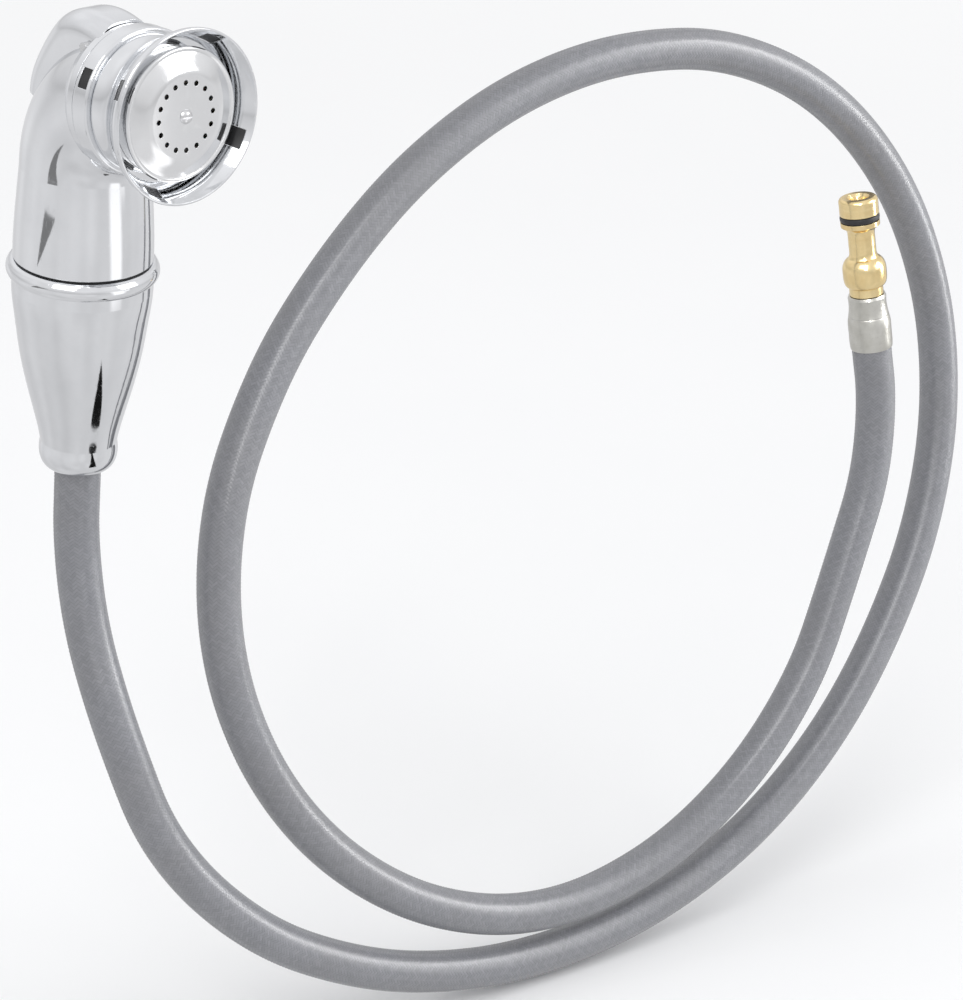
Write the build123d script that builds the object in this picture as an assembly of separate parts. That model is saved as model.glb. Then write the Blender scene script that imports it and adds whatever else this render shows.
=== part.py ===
from build123d import *
import math
import os

# Hand spray on a coiled braided hose that ends in a quick-connect plug. Millimetres.
# +Z runs up the handle axis, the spray faces -Y and tilts up a little, and +X is to the right
# of the handle axis. The saved pieces have their origin on that axis, at the holder seat under
# the collar. Heights in this script start at the lower lip of the handle; save() shifts them.

os.makedirs("parts", exist_ok=True)

# ---------------------------------------------------------------- driving dimensions
HOSE_R = 14.5 / 2         # braided jacket, outside
JACKET_BORE_R = 5.30
LINER_R = 5.20            # inner tube, outside
LINER_BORE_R = 4.0
HOSE_TOP_Z = 22.4         # hose end inside the handle
JACKET_INSERT = 12.0      # how far each layer runs past the mouth of the plug's ferrule
LINER_INSERT = 19.0
BARB_BORE_R = 2.6         # bore of the two fittings pushed into the hose

AXIS_Z = 125.0            # spray axis crosses the handle axis here
TILT = 4.0                # spray axis rises this many degrees towards the front
BEND_R = 28.0             # centreline radius of the elbow
TUBE_R = 19.65            # elbow outside radius

SEAT_Z = 64.3             # underside of the collar's lip, where a holder ring stops
SEAT_R = 21.4             # cylindrical land under the lip
SEAT_LENGTH = 4.0
SPIGOT_R = 17.62          # bore of the collar and its gasket
COLLAR_R = 23.2
COLLAR_Z0, COLLAR_Z1 = 64.4, 69.5
SHELL_Z0 = 70.2           # lower edge of the upper shell

TUBE_BORE_R = 11.5        # waterway tube in the handle
CHECK_R = 11.44           # check valve body, inside that tube
STEM_R = 2.0              # shut-off valve stem
STEM_TOP = 133.35
STEM_BORE_R = 2.06        # holes that guide a valve stem

LEVER_HALF = 19.0 / 2     # half the thumb lever's width
PIN_FORWARD, PIN_Z = 12.5, 141.0
PIN_R = 1.6
LEVER_UNDER_R = 46.0      # underside of the lever, about the elbow's bend centre
SKIRT_R = 43.2            # lower edge of the lever's side skirts, about the same centre
SKIRT_T = 1.8             # thickness of the skirts
POCKET_R = 38.6           # floor of the pocket under the lever, about the same centre
POCKET_BACK_Z = 114.0     # lower end of the pocket
LEVER_PAD_Z = 133.5       # underside of the pad over the valve stem

# distances called D are measured along the spray axis
RING_R = 21.9             # neck ring
RING_D0, RING_D1 = 20.2, 27.0
BELL_R = 25.85            # rim of the spray bell
BELL_D = 46.3             # rim plane
FACE_R = 19.8
FACE_D = 45.1             # front of the spray face
LUG_COUNT = 4             # lugs around the neck ring, and again around the bell
LUG_PHASE = 27.0          # first lug, degrees from -X towards up
LUG_GAP = 0.1             # a window is this much larger than its lug

PLUG_MOUTH = (306.48, -73.27, -9.33)     # mouth of the hose ferrule at the plug end
PLUG_DIR = Vector(-0.1054, 0.20351, 0.97338).normalized()
PLUG_LAND_R = 7.1

# x, y, z along the hose centreline, from under the handle to near the plug
HOSE_POINTS = [
    (0.0, 0.0, -6.0), (-0.2, -0.5, -24.0), (-1.5, -6.3, -46.1), (0.1, -24.3, -87.7),
    (12.3, -38.0, -129.3), (38.6, -52.2, -163.4), (75.1, -65.3, -187.2),
    (117.0, -76.6, -200.8), (161.5, -85.6, -204.3), (206.2, -91.9, -198.0),
    (248.6, -95.1, -181.9), (286.2, -94.8, -156.3), (317.1, -91.1, -123.0),
    (340.3, -84.6, -84.4), (352.4, -74.9, -41.7), (351.1, -62.6, 2.0),
    (335.8, -48.6, 42.5), (307.0, -34.6, 74.5), (267.8, -22.2, 93.8),
    (223.6, -12.9, 98.6), (179.1, -6.9, 91.4), (137.4, -4.4, 73.3),
    (100.5, -5.2, 46.5), (69.4, -8.8, 13.4), (47.8, -15.8, -25.9),
    (41.1, -26.6, -69.4), (50.4, -40.0, -111.8), (73.3, -55.4, -147.8),
    (107.4, -71.0, -173.5), (149.5, -82.4, -185.9), (194.1, -89.4, -181.4),
    (235.0, -92.5, -162.0), (268.0, -91.6, -130.8), (289.9, -87.0, -91.3),
    (306.2, -81.1, -49.1), (308.2, -77.1, -27.6),
]

# ---------------------------------------------------------------- frames
TILT_COS, TILT_SIN = math.cos(math.radians(TILT)), math.sin(math.radians(TILT))
SPRAY = Plane(origin=(0, 0, AXIS_Z), x_dir=(1, 0, 0), z_dir=(0, -TILT_COS, TILT_SIN)).location
PLUG = Plane(origin=PLUG_MOUTH, z_dir=PLUG_DIR).location
LEVER_PIN = Location((0, -PIN_FORWARD, PIN_Z), (0, 90, 0))
# the bend centre is forward of the handle axis by BEND_R, so the elbow is tangent to both axes
ELBOW_Z = AXIS_Z - BEND_R * math.tan(math.radians((90.0 - TILT) / 2.0))
BEND_AXIS = Axis((0, -BEND_R, ELBOW_Z), (1, 0, 0))


# ---------------------------------------------------------------- helpers
def turn(points):
    """Turned solid from a closed polygon of (radius, height)."""
    outline = Polyline(*[(r, 0, z) for r, z in points], close=True)
    return revolve(Face(Wire(outline.edges())), Axis.Z)


def turn_runs(start, *runs):
    """Turned solid from a mixed outline of (radius, height) that ends where it starts.

    Each run is an edge type and its points, carried on from the last point before it.
    """
    edges, last = [], start
    for kind, *points in runs:
        stations = [(r, 0, z) for r, z in [last, *points]]
        if kind is Line:
            edges += lines(stations)
        else:
            edges.append(kind(*stations))
        last = points[-1]
    return revolve(Face(Wire(edges)), Axis.Z)


def lines(points):
    return [Line(a, b) for a, b in zip(points[:-1], points[1:])]


def ring(r_in, r_out, z0, z1):
    return turn([(r_in, z0), (r_out, z0), (r_out, z1), (r_in, z1)])


def rod(r, z0, z1):
    return ring(0, r, z0, z1)


def o_ring(r_mid, r_section, z):
    plane = Plane(origin=(r_mid, 0, z), x_dir=(1, 0, 0), z_dir=(0, -1, 0))
    return revolve(Face(Wire.make_circle(r_section, plane)), Axis.Z)


def spring(r_mid, r_wire, z0, z1, turns):
    helix = Helix(pitch=(z1 - z0) / turns, height=z1 - z0, radius=r_mid)
    path = Wire(helix.edges()).moved(Location((0, 0, z0)))
    section = Face(Wire.make_circle(r_wire, Plane(origin=path @ 0, z_dir=path % 0)))
    return sweep(section, path=path, is_frenet=True)


def hole_ring(count, r_pitch, z, r_hole, length, phase=0):
    """Cutters for evenly spaced holes, centred at height z."""
    return [Rot(0, 0, 360 / count * k + phase) * Pos(r_pitch, 0, z) * Cylinder(r_hole, length)
            for k in range(count)]


def save(name, *shapes):
    solids = [solid for shape in shapes for solid in shape.solids()]
    piece = solids[0] if len(solids) == 1 else Compound(children=solids)
    piece = piece.moved(Location((0, 0, -SEAT_Z)))
    piece.label = name
    export_step(piece, "parts/" + name + ".step")


# ---------------------------------------------------------------- hose
def biarc(start, start_dir, end, end_dir):
    """Middle point, and direction there, of two arcs joining the ends along their directions."""
    chord, dir_sum = end - start, start_dir + end_dir
    bend = 2.0 * (1.0 - start_dir.dot(end_dir))
    along = chord.dot(dir_sum)
    if bend > 1e-9:
        reach = (-along + math.sqrt(along * along + bend * chord.dot(chord))) / bend
    else:
        reach = chord.dot(chord) / (2.0 * along)
    middle = (start + end) * 0.5 + (start_dir - end_dir) * (0.5 * reach)
    half = middle - start
    return middle, (half * (2.0 * half.dot(start_dir) / half.dot(half)) - start_dir).normalized()


def hose_knots(insert):
    """Points and directions down the handle, round the coil and into the plug's ferrule."""
    points = [Vector(*p) for p in HOSE_POINTS + [PLUG_MOUTH]]
    down = Vector(0, 0, -1)
    knots = [(Vector(0, 0, HOSE_TOP_Z), down), (points[0], down)]
    for a, b, c in zip(points[:-2], points[1:-1], points[2:]):
        before, after = (b - a).length, (c - b).length
        direction = (b - a) * (after / before) + (c - b) * (before / after)
        knots.append((b, direction.normalized()))
    knots.append((points[-1], PLUG_DIR))
    knots.append((points[-1] + PLUG_DIR * insert, PLUG_DIR))
    return knots


def arc_ends(knots):
    """End point and end direction of every arc or straight along the knots."""
    ends = []
    for (a, a_dir), (b, b_dir) in zip(knots[:-1], knots[1:]):
        parallel = (a_dir - b_dir).length < 1e-6
        if not (parallel and ((b - a).normalized() - a_dir).length < 1e-6):
            ends.append(biarc(a, a_dir, b, b_dir))
        ends.append((b, b_dir))
    return ends


def tube_along(knots, r_out, r_in):
    """Tube wall of round bends laid end to end, closed by two flat annular ends."""
    def end_cap():
        plane = Plane(origin=point, x_dir=x_dir, z_dir=tangent)
        return Face(Wire.make_circle(r_out, plane), [Wire.make_circle(r_in, plane)])

    wall = []
    point, tangent = knots[0]
    x_dir = Vector(1, 0, 0)
    first_cap = end_cap()
    for next_point, _ in arc_ends(knots):
        x_dir = (x_dir - tangent * x_dir.dot(tangent)).normalized()
        plane = Plane(origin=point, x_dir=x_dir, z_dir=tangent)
        discs = [Face(Wire.make_circle(r, plane)) for r in (r_out, r_in)]
        chord = next_point - point
        normal = tangent.cross(chord)
        if normal.length / chord.length < 2e-5:
            runs = [extrude(disc, amount=chord.length, dir=tangent) for disc in discs]
            point = point + tangent * chord.length
        else:
            half_angle = math.atan2(normal.length, tangent.dot(chord))
            angle = math.degrees(2 * half_angle)
            normal = normal.normalized()
            bend_r = chord.length / (2.0 * math.sin(half_angle))
            bend_axis = Axis(point + normal.cross(tangent) * bend_r, normal)
            runs = [revolve(disc, bend_axis, revolution_arc=angle) for disc in discs]
            spin = Axis((0, 0, 0), normal)
            x_dir = x_dir.rotate(spin, angle)
            tangent = tangent.rotate(spin, angle)
            point = next_point
        wall += [f for run in runs for f in run.faces() if f.geom_type != GeomType.PLANE]
    return Solid(Shell([*wall, first_cap, end_cap()]))


save("hose_jacket", tube_along(hose_knots(JACKET_INSERT), HOSE_R, JACKET_BORE_R))
save("hose_liner", tube_along(hose_knots(LINER_INSERT), LINER_R, LINER_BORE_R))

# ---------------------------------------------------------------- plug end of the hose
inlet_ferrule = turn_runs(
    (7.33, 0.0),
    (Line, (7.60, 0.0)),
    (Spline, (7.78, 1.6), (7.80, 6.0), (7.72, 10.6), (7.30, 12.8), (7.02, 14.6), (6.98, 19.4)),
    (Line, (6.6, 20.4), (5.45, 20.4), (5.45, 12.6), (7.33, 12.6), (7.33, 0.0)))
save("inlet_ferrule", inlet_ferrule.moved(PLUG))

# barb, rounded grip, neck, then the land with its O-ring groove
inlet_plug = turn_runs(
    (BARB_BORE_R, 2.0),
    (Line, (3.5, 2.0), (3.93, 3.0), (3.93, 20.6), (6.15, 20.6), (6.15, 23.6)),
    (Spline, (7.2, 24.3), (7.85, 26.4), (7.95, 29.0), (7.75, 31.6), (6.9, 33.4), (5.5, 34.6)),
    (Spline, (5.0, 35.8), (4.9, 38.0), (4.9, 43.0), (5.1, 44.8), (5.9, 46.0)),
    (Line, (6.8, 46.4), (PLUG_LAND_R, 46.7), (PLUG_LAND_R, 48.4), (5.4, 48.4), (5.4, 51.0),
     (PLUG_LAND_R, 51.0), (PLUG_LAND_R, 55.6)),
    (ThreePointArc, (6.75, 56.8), (5.6, 57.3)),
    (Line, (4.1, 57.3), (3.3, 56.3), (BARB_BORE_R, 54.0), (BARB_BORE_R, 2.0)))
save("inlet_plug", inlet_plug.moved(PLUG))

inlet_o_ring = turn_runs(
    (5.45, 48.6),
    (Spline, (6.4, 48.5), (7.08, 48.85)),
    (ThreePointArc, (7.22, 49.7), (7.08, 50.55)),
    (Spline, (6.4, 50.9), (5.45, 50.8)),
    (Line, (5.45, 48.6)))
save("inlet_o_ring", inlet_o_ring.moved(PLUG))

# ---------------------------------------------------------------- handle end of the hose
save("outlet_ferrule", turn([
    (7.35, 5.0), (7.9, 5.0), (8.25, 6.0), (8.25, 9.0), (7.8, 9.6), (7.8, 10.8), (8.25, 11.4),
    (8.25, 14.6), (7.8, 15.2), (7.8, 16.4), (8.25, 17.0), (8.25, HOSE_TOP_Z),
    (7.35, HOSE_TOP_Z)]))
save("hose_stem", turn([
    (BARB_BORE_R, 6.0), (3.5, 6.0), (3.93, 7.2), (3.93, 22.5), (8.2, 22.5), (8.2, 24.5),
    (5.5, 24.5), (5.5, 30.0), (4.3, 30.0), (4.3, 31.3), (5.5, 31.3), (5.5, 40.3), (4.8, 40.3),
    (4.8, 41.5), (5.5, 41.5), (5.5, 43.0), (5.1, 43.5), (BARB_BORE_R, 43.5)]))
save("swivel_o_ring", o_ring(r_mid=4.93, r_section=0.59, z=30.65))
# open ring, with its gap at the back
save("swivel_clip", ring(4.86, 7.6, 40.35, 41.4) - Pos(0, 6, 40.9) * Box(5.0, 8.0, 3.0))
save("thrust_washer", ring(5.58, 8.4, 24.55, 25.55))

# ---------------------------------------------------------------- handle
save("handle_cone", turn_runs(
    (8.2, 0.0),
    (Spline, (10.6, 0.9), (11.85, 3.2), (12.2, 6.0), (11.9, 9.0)),
    (Spline, (12.55, 12.4), (14.4, 20.0), (16.9, 30.0), (18.9, 40.0), (20.3, 50.0),
     (21.2, 57.0), (SEAT_R, SEAT_Z - SEAT_LENGTH)),
    (Line, (SEAT_R, SEAT_Z), (17.6, SEAT_Z), (17.6, 58.0), (16.4, 56.5), (16.4, 40.0),
     (15.95, 35.5), (15.95, 32.0), (12.5, 32.0), (12.5, 24.5), (9.9, 12.5), (9.9, 4.0),
     (7.6, 2.6), (7.6, 0.4), (8.2, 0.0))))
save("collar_ring", turn_runs(
    (SPIGOT_R, COLLAR_Z0),
    (Line, (SEAT_R + 0.05, COLLAR_Z0), (SEAT_R + 0.05, SEAT_Z), (22.4, SEAT_Z)),
    (ThreePointArc, (COLLAR_R, 66.4), (22.55, 68.4)),
    (ThreePointArc, (21.9, 69.2), (21.0, COLLAR_Z1)),
    (Line, (SPIGOT_R, COLLAR_Z1), (SPIGOT_R, COLLAR_Z0))))
save("collar_gasket", ring(SPIGOT_R, 20.5, COLLAR_Z1 + 0.05, SHELL_Z0 - 0.05))
save("inlet_bushing", turn([
    (5.56, 25.6), (12.46, 25.6), (12.46, 32.03), (15.9, 32.03), (15.9, 35.0), (9.4, 35.0),
    (9.4, 39.3), (8.8, 40.0), (5.56, 40.0)]))
save("tube_washer", ring(TUBE_BORE_R, 13.6, 35.05, 36.55))
save("waterway_tube", turn([
    (TUBE_BORE_R, 36.6), (13.5, 36.6), (13.5, 68.0), (12.3, 68.0), (12.3, 70.0), (13.5, 70.0),
    (13.5, 71.6), (13.1, 72.3), (TUBE_BORE_R, 72.3)]))
save("tube_o_ring", o_ring(r_mid=12.92, r_section=0.56, z=69.0))

# flat screen: a centre hole and three rings of 6, 12 and 18
STRAINER_PITCH = 3.0
strainer_holes = [
    hole for k, count in enumerate((1, 6, 12, 18))
    for hole in hole_ring(count, STRAINER_PITCH * k, z=49.3, r_hole=0.9, length=3)]
save("strainer_screen", rod(11.42, 48.9, 49.8) - strainer_holes)

# ---------------------------------------------------------------- check valve
save("check_body", turn([
    (5.0, 50.0), (9.9, 50.0), (CHECK_R, 50.0), (CHECK_R, 54.0), (10.6, 54.0), (10.6, 55.6),
    (CHECK_R, 55.6), (CHECK_R, 61.8), (10.0, 61.8), (10.0, 52.0), (5.0, 52.0)]))
save("check_o_ring", o_ring(r_mid=11.04, r_section=0.42, z=54.8))
save("check_poppet", turn([
    (0, 50.6), (4.2, 50.6), (4.8, 52.05), (8.0, 52.05), (8.0, 53.6), (2.9, 54.2), (2.0, 54.6),
    (2.0, 62.6), (1.6, 63.0), (0, 63.0)]))
check_cage = rod(9.97, 60.0, 61.7) - rod(STEM_BORE_R, 59, 63)
save("check_cage", check_cage - hole_ring(4, 6.2, z=61, r_hole=2.5, length=4, phase=45))
save("check_spring", spring(r_mid=4.2, r_wire=0.40, z0=54.95, z1=59.5, turns=4.0))

# ---------------------------------------------------------------- shut-off valve
save("valve_body", turn([
    (13.54, 66.0), (15.96, 66.0), (15.96, 97.9), (13.0, 97.9), (13.0, 95.0), (6.0, 95.0),
    (6.0, 91.1), (6.4, 90.05), (8.0, 90.05), (8.6, 91.0), (9.5, 91.0), (9.5, 76.0),
    (13.0, 76.0), (13.0, 72.4), (13.54, 72.4)]))
spring_cage = rod(12.97, 72.45, 75.4) - hole_ring(6, 8.6, z=74, r_hole=2.4, length=6)
save("spring_cage", spring_cage + rod(4.4, 75.3, 78.4) - rod(2.1, 72, 80))
save("valve_stem", turn([
    (0, 80.2), (1.6, 80.2), (STEM_R, 80.6), (STEM_R, 86.0), (7.2, 86.0), (7.2, 87.95),
    (3.2, 87.95), (3.2, 90.0), (STEM_R, 91.2), (STEM_R, STEM_TOP - 0.8), (1.2, STEM_TOP - 0.2),
    (0, STEM_TOP)]))
save("valve_disc", ring(3.23, 7.6, 87.98, 90.02))
save("valve_spring", spring(r_mid=5.6, r_wire=0.55, z0=76.1, z1=85.35, turns=4.5))


# ---------------------------------------------------------------- side view of the elbow
def side_point(forward, z):
    return (0, -forward, z)


def bend_point(radius, angle):
    """Point about the bend centre; the angle starts forward and turns up."""
    return side_point(BEND_R + radius * math.cos(angle), ELBOW_Z + radius * math.sin(angle))


def bend_arc(radius, start, end):
    return ThreePointArc(*[bend_point(radius, a) for a in (start, 0.5 * (start + end), end)])


def back_angle(radius, z):
    """Angle of the point at this height, behind the bend centre."""
    return math.pi - math.asin((z - ELBOW_Z) / radius)


def top_angle(radius, forward):
    """Angle of the point this far forward of the handle axis, above the bend centre."""
    return math.acos((forward - BEND_R) / radius)


def spray_side(distance, up):
    """(forward, z) of the point this far along the spray axis and this far above it."""
    return (distance * TILT_COS - up * TILT_SIN, AXIS_Z + distance * TILT_SIN + up * TILT_COS)


def side_extrude(edges, half_width):
    return extrude(Face(Wire(edges)), amount=half_width, dir=(1, 0, 0), both=True)


# ---------------------------------------------------------------- upper shell
def elbow(r):
    section = Face(Wire.make_circle(
        r, Plane(origin=(0, 0, ELBOW_Z), x_dir=(1, 0, 0), z_dir=(0, 0, 1))))
    return revolve(section, BEND_AXIS, revolution_arc=90.0 - TILT)


def lever_pocket():
    wall_d, wall_foot, wall_top = 18.4, 9.5, 40.0   # front wall, square to the spray axis
    behind = -40.0                                  # clear of the shell at the back
    foot_forward, foot_z = spray_side(wall_d, wall_foot)
    top_forward, top_z = spray_side(wall_d, wall_top)
    back = back_angle(POCKET_R, z=POCKET_BACK_Z)
    front = math.atan2(foot_z - ELBOW_Z, foot_forward - BEND_R)
    return side_extrude([
        bend_arc(POCKET_R, back, front),
        *lines([
            bend_point(POCKET_R, front), side_point(top_forward, top_z),
            side_point(behind, top_z), side_point(behind, POCKET_BACK_Z),
            bend_point(POCKET_R, back)]),
    ], LEVER_HALF + 0.4)


def head_shell():
    # lower tube with its spigot
    shell = turn_runs(
        (0, 59.0),
        (Line, (17.55, 59.0), (17.55, SHELL_Z0), (21.2, SHELL_Z0)),
        (Spline, (20.95, 80.0), (20.3, 90.0), (TUBE_R, ELBOW_Z)),
        (Line, (0, ELBOW_Z), (0, 59.0)))
    shell = shell + (elbow(TUBE_R) - rod(60, 19.9, 90).moved(SPRAY))
    # flared land at the front, then the spigot inside the bell
    shell = shell + turn([
        (0, 6.0), (12.0, 6.0), (TUBE_R - 1.0, 13.0), (TUBE_R + 0.55, 15.6), (21.3, 17.6),
        (21.3, 20.0), (0, 20.0)]).moved(SPRAY)
    shell = shell + rod(17.0, 12.0, 30.9).moved(SPRAY)
    shell = shell - lever_pocket()
    # boss around the valve stem, with clear space above
    shell = shell + rod(6.0, 112.0, 127.5) - rod(6.3, 127.5, 150.0)
    # valve chamber and waterway
    shell = shell - rod(16.0, 58.0, 98.0) - rod(9.0, 97.0, 103.0)
    shell = shell - elbow(6.5)
    shell = shell - rod(7.2, 25.4, 27.1).moved(SPRAY)
    shell = shell - rod(12.0, 27.0, 32.0).moved(SPRAY)
    # bore for the gland, then the lever pin's holes
    shell = shell - rod(4.23, 116.0, 140.0)
    return shell - Cylinder(PIN_R, 60).moved(LEVER_PIN)


save("head_shell", head_shell())
save("stem_gland", turn([
    (STEM_BORE_R, 118.0), (4.2, 118.0), (4.2, 127.55), (5.4, 127.55), (5.4, 129.6),
    (STEM_BORE_R, 129.6), (STEM_BORE_R, 123.6), (3.45, 123.6), (3.45, 122.0),
    (STEM_BORE_R, 122.0)]))
save("gland_o_ring", o_ring(r_mid=2.735, r_section=0.66, z=122.8))

# ---------------------------------------------------------------- thumb lever and its pin
# forward, height along the top of the lever, from the back end to the front end
LEVER_RIDGE = [
    (-19.9, 119.0), (-18.6, 125.5), (-15.2, 132.5), (-10.8, 139.2), (-5.2, 145.2),
    (0.8, 148.2), (7.5, 149.3), (13.0, 148.9), (16.3, 148.2),
]


def lever_blank():
    ridge = [side_point(*p) for p in LEVER_RIDGE]
    back, front = back_angle(SKIRT_R, z=118.0), top_angle(SKIRT_R, forward=16.8)
    return side_extrude([
        Spline(*ridge),
        Line(ridge[-1], bend_point(SKIRT_R, front)),
        bend_arc(SKIRT_R, front, back),
        Line(bend_point(SKIRT_R, back), ridge[0]),
    ], LEVER_HALF)


def is_ridge_edge(edge):
    centre = edge.center()
    return (edge.length > 45 and abs(abs(centre.X) - LEVER_HALF) < 0.01
            and math.hypot(-centre.Y - BEND_R, centre.Z - ELBOW_Z) > LEVER_UNDER_R + 2)


def round_ridge(lever):
    edges = [e for e in lever.edges() if is_ridge_edge(e)]
    for radius in (7.0, 6.0, 5.0, 4.0):
        # guards against a radius too large for the ridge's curvature; the next is smaller
        try:
            rounded = fillet(edges, radius)
            if rounded.is_valid and rounded.volume > 100:
                return rounded
        except Exception:
            continue
    return lever


def lever_hollow():
    """Space between the skirts, closed at both ends."""
    back, front = back_angle(LEVER_UNDER_R, z=121.5), top_angle(LEVER_UNDER_R, forward=15.0)
    low_r = SKIRT_R - 3.0
    return side_extrude([
        bend_arc(LEVER_UNDER_R, back, front),
        Line(bend_point(LEVER_UNDER_R, front), bend_point(low_r, front)),
        bend_arc(low_r, front, back),
        Line(bend_point(low_r, back), bend_point(LEVER_UNDER_R, back)),
    ], LEVER_HALF - SKIRT_T)


def thumb_lever():
    lever = round_ridge(lever_blank()) - lever_hollow()
    knuckle = Cylinder(3.6, 2 * LEVER_HALF - 1.0).moved(LEVER_PIN)
    web_outline = [(9.0, PIN_Z), (16.0, PIN_Z), (16.0, 145.2), (8.0, 144.2)]
    web = side_extrude(
        Polyline(*[side_point(*p) for p in web_outline], close=True).edges(), LEVER_HALF - 1.2)
    lever = lever + knuckle + web + rod(3.4, LEVER_PAD_Z, 138.0)
    # room over the gland when the lever is down
    gland_room = rod(7.6, 110.0, LEVER_PAD_Z)
    lever = lever - gland_room - Pos(0, 2.0, 0) * gland_room
    return lever - Cylinder(PIN_R + 0.06, 60).moved(LEVER_PIN)


save("thumb_lever", thumb_lever())
save("lever_pin", Cylinder(PIN_R, 24.0).moved(LEVER_PIN))

# ---------------------------------------------------------------- nozzle inside the bell
nozzle_hub = turn([
    (0, 27.2), (11.96, 27.2), (11.96, 31.0), (18.2, 31.0), (18.2, 33.0), (16.9, 33.0),
    (16.9, 34.2), (15.3, 34.2), (15.3, 36.0), (16.9, 36.0), (16.9, 37.0), (3.6, 37.0),
    (3.6, 43.3), (0, 43.3)])
nozzle_hub = nozzle_hub - hole_ring(6, 7.6, z=32, r_hole=2.3, length=14) - rod(1.3, 36.0, 44.0)
save("nozzle_hub", nozzle_hub.moved(SPRAY))
port_disc = ring(3.63, 15.0, 37.05, 38.9) - hole_ring(8, 10.2, z=38, r_hole=2.0, length=6)
save("port_disc", port_disc.moved(SPRAY))
save("face_o_ring", o_ring(r_mid=16.14, r_section=0.82, z=35.1).moved(SPRAY))


# ---------------------------------------------------------------- neck ring, bell and lugs
def lug_blocks(r_mid, distance, depth, width, length):
    """One block per lug; depth is radial, width tangential, length along the spray axis."""
    return [Box(depth, width, length)
            .moved(Location((r_mid, 0, distance)))
            .moved(Location((0, 0, 0), (0, 0, 180.0 - (LUG_PHASE + 360.0 / LUG_COUNT * k))))
            for k in range(LUG_COUNT)]


def save_lugs(name, skin, blocks):
    save(name, *[(skin & block).moved(SPRAY) for block in blocks])


LUG_WIDTH = 6.0 - LUG_GAP
neck_ring = turn_runs(
    (19.6, RING_D0),
    (Line, (20.9, RING_D0)),
    (ThreePointArc, (21.55, 20.55), (RING_R, 21.3)),
    (Line, (RING_R, 26.1)),
    (ThreePointArc, (21.65, 26.75), (21.0, RING_D1)),
    (Line, (19.6, RING_D1), (19.6, RING_D0)))
neck_ring = neck_ring - lug_blocks(20.75, 24.0, depth=4.0, width=6.0, length=4.0)
save("neck_ring", neck_ring.moved(SPRAY))
save_lugs("neck_lugs", ring(19.62, RING_R - 0.35, 18, 30),
          lug_blocks(20.75, 24.0, depth=4.4, width=LUG_WIDTH, length=4.0 - LUG_GAP))

bell = turn_runs(
    (17.08, RING_D0),
    (Line, (19.57, RING_D0), (19.57, 27.15)),
    (ThreePointArc, (20.15, 27.35), (20.35, 27.9)),
    (Spline, (20.2, 30.5), (20.3, 33.2), (21.3, 36.6), (23.1, 39.8), (24.9, 42.8),
     (25.75, 44.9), (BELL_R, 45.8)),
    (ThreePointArc, (25.6, 46.25), (25.1, BELL_D - 0.02)),
    (Spline, (24.3, 44.7), (23.1, 42.6), (21.9, 39.8), (21.1, 36.7)),
    (Line, (18.62, 36.7), (18.62, 30.95), (17.08, 30.95), (17.08, RING_D0)))
bell = bell - lug_blocks(24.0, 42.4, depth=9.0, width=6.0, length=4.4)
save("spray_bell", bell.moved(SPRAY))

# thin cone within the bell's wall, from which the bell's lugs are cut
bell_skin = turn_runs(
    (20.1, 33.2),
    (Spline, (21.0, 36.6), (22.8, 39.8), (24.6, 42.8), (25.45, 44.9), (25.5, 45.8)),
    (Line, (24.9, 45.8)),
    (Spline, (24.5, 44.7), (23.35, 42.6), (22.15, 39.8), (21.3, 36.7)),
    (Line, (20.1, 33.2)))
save_lugs("bell_lugs", bell_skin,
          lug_blocks(24.0, 42.4, depth=8.0, width=LUG_WIDTH, length=4.4 - LUG_GAP))

# ---------------------------------------------------------------- spray face and its screw
face = turn_runs(
    (1.35, FACE_D - 1.4),
    (Line, (1.35, FACE_D), (12.2, FACE_D)),
    (Spline, (12.8, FACE_D - 0.12), (15.5, FACE_D - 1.1), (18.4, FACE_D - 2.3)),
    (ThreePointArc, (19.25, FACE_D - 1.95), (FACE_R, FACE_D - 2.5)),
    (ThreePointArc, (19.7, FACE_D - 3.1), (19.2, FACE_D - 3.5)),
    (Line, (18.58, FACE_D - 4.2), (18.58, 33.6), (17.0, 33.6), (17.0, FACE_D - 3.6),
     (12.4, FACE_D - 1.4), (1.35, FACE_D - 1.4)))
face = face - hole_ring(16, 9.9, z=FACE_D - 1, r_hole=0.8, length=5)
save("spray_face", face.moved(SPRAY))

HEAD_D = FACE_D + 0.02    # underside of the screw head
screw = turn_runs(
    (0, 38.2),
    (Line, (1.25, 38.2), (1.25, HEAD_D), (2.2, HEAD_D)),
    (ThreePointArc, (1.7, FACE_D + 0.75), (0, FACE_D + 1.05)),
    (Line, (0, 38.2)))
screw = screw - Pos(0, 0, FACE_D + 1.0) * Box(5.0, 0.6, 1.0)
save("face_screw", screw.moved(SPRAY))
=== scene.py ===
"""A chrome spray handset with a lever, on a braided hose that loops round to a brass plug.

The handle stands along Z, with the hose leaving its lower end. The spray head faces -Y, tilted
slightly up, and the hose winds out towards +X. The scene is in metres. Hose and card places are
in millimetres, from a datum SEAT_Z below the scene's origin.
"""
import bpy
import math
import numpy as np
from mathutils import Vector, Matrix


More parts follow.
